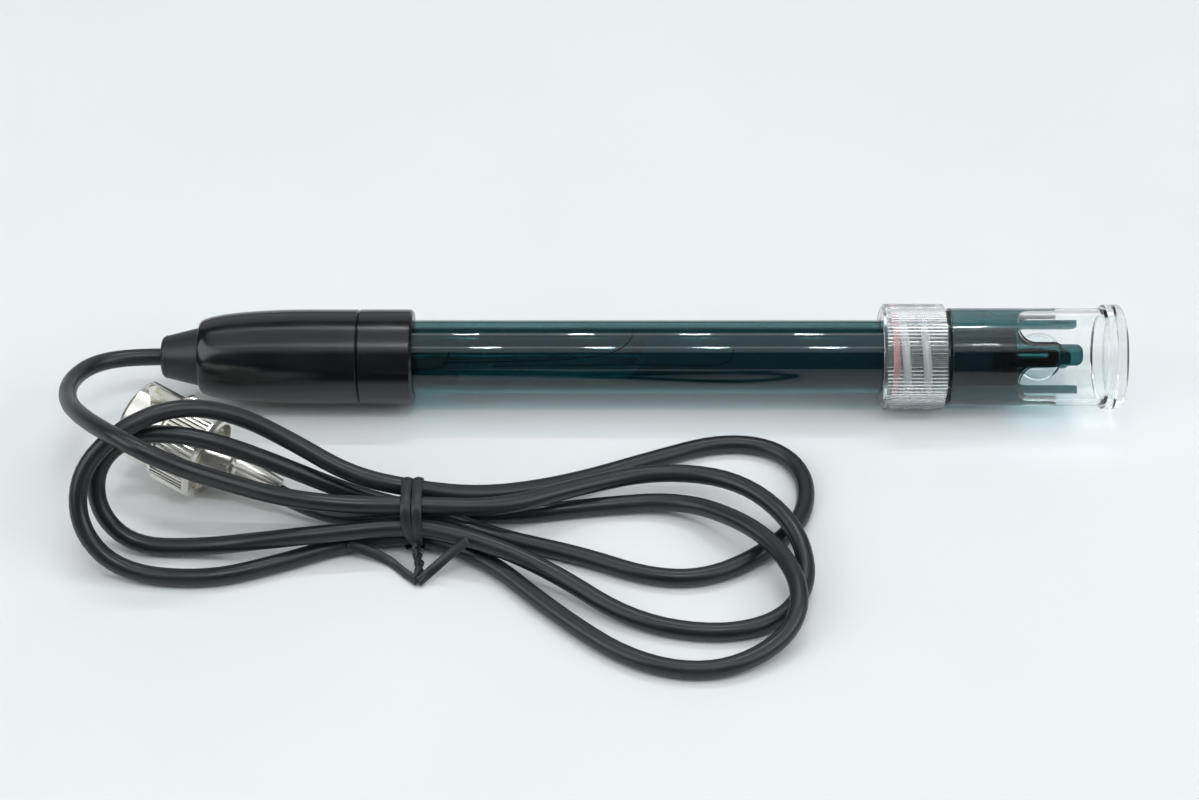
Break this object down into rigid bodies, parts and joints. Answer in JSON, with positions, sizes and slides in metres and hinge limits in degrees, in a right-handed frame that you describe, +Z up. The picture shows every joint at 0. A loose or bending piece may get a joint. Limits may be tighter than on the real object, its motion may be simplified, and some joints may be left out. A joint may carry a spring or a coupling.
{
  "type": "ph electrode",
  "caption": "Laboratory pH electrode with a guarded glass bulb, storage bottle on its tip, and a looped lead tied up and ending in a bayonet coaxial plug.",
  "frame": {"origin": "bottom centre of the electrode with its bottle on, leaving out the lead and its plug", "axes": "+X along the electrode towards the bottle, +Y away from the looped lead, +Z up"},
  "size_m": [0.1697, 0.0747, 0.0236],
  "materials": {
    "tube": "glossy, dark green, see-through",
    "head": "satin black moulded plastic",
    "boot": "matt black rubber",
    "jacket": "smooth charcoal jacket",
    "crimp": "satin",
    "solder": "satin",
    "stem_glass": "clear",
    "silver": "satin silver",
    "seal_resin": "dark cast resin",
    "ceramic": "porous white",
    "gel": "clear gel",
    "bottle": "clear",
    "liquid": "clear liquid",
    "seal": "soft red",
    "cap": "clear, ribbed",
    "nickel": "bright nickel plate",
    "insulator": "white",
    "pin": "gold plated",
    "gasket": "red rubber",
    "tie": "matt black"
  },
  "bodies": {
    "electrode": {"body_tube": "tube", "head_shell": "head", "head_collar": "head", "strain_relief": "boot", "cable_inside": "jacket", "cable_clamp": "crimp", "signal_splice": "solder", "glass_stem": "stem_glass", "signal_wire": "silver", "reference_wire": "silver", "top_plug": "seal_resin", "tip_plug": "seal_resin", "ceramic_junction": "ceramic", "reference_gel": "gel", "bnc_ferrule": "nickel", "bnc_cable_end": "jacket", "bnc_body": "nickel", "bnc_insulator": "insulator", "bnc_pin": "pin", "bnc_gasket": "gasket", "cord": "jacket", "twist_tie": "tie"},
    "bottle": {"storage_bottle": "bottle", "storage_liquid": "liquid"},
    "seal": {"bottle_seal": "seal"},
    "cap": {"bottle_cap": "cap"},
    "coupling_nut": {"bnc_nut": "nickel"}
  },
  "joints": [
    {"name": "bottle_pull_off", "type": "slide", "parent": "electrode", "child": "bottle", "axis": [1, 0, 0], "range_m": [0, 0.04]},
    {"name": "cap_back_off", "type": "slide", "parent": "bottle", "child": "seal", "axis": [-1, 0, 0], "range_m": [0, 0.0066]},
    {"name": "cap_unscrew", "type": "hinge", "parent": "seal", "child": "cap", "pos_m": [0.0439, 0, 0.0086], "axis": [-1, 0, 0], "range_deg": [0, 720]},
    {"name": "nut_turn", "type": "hinge", "parent": "electrode", "child": "coupling_nut", "pos_m": [-0.0565, -0.028, 0.0036], "axis": [-0.8774, 0.4092, 0.2504], "continuous": true}
  ],
  "couplings": [
    {"joint": "cap_unscrew", "follows": "cap_back_off", "rad_per_m": 1903.9}
  ]
}
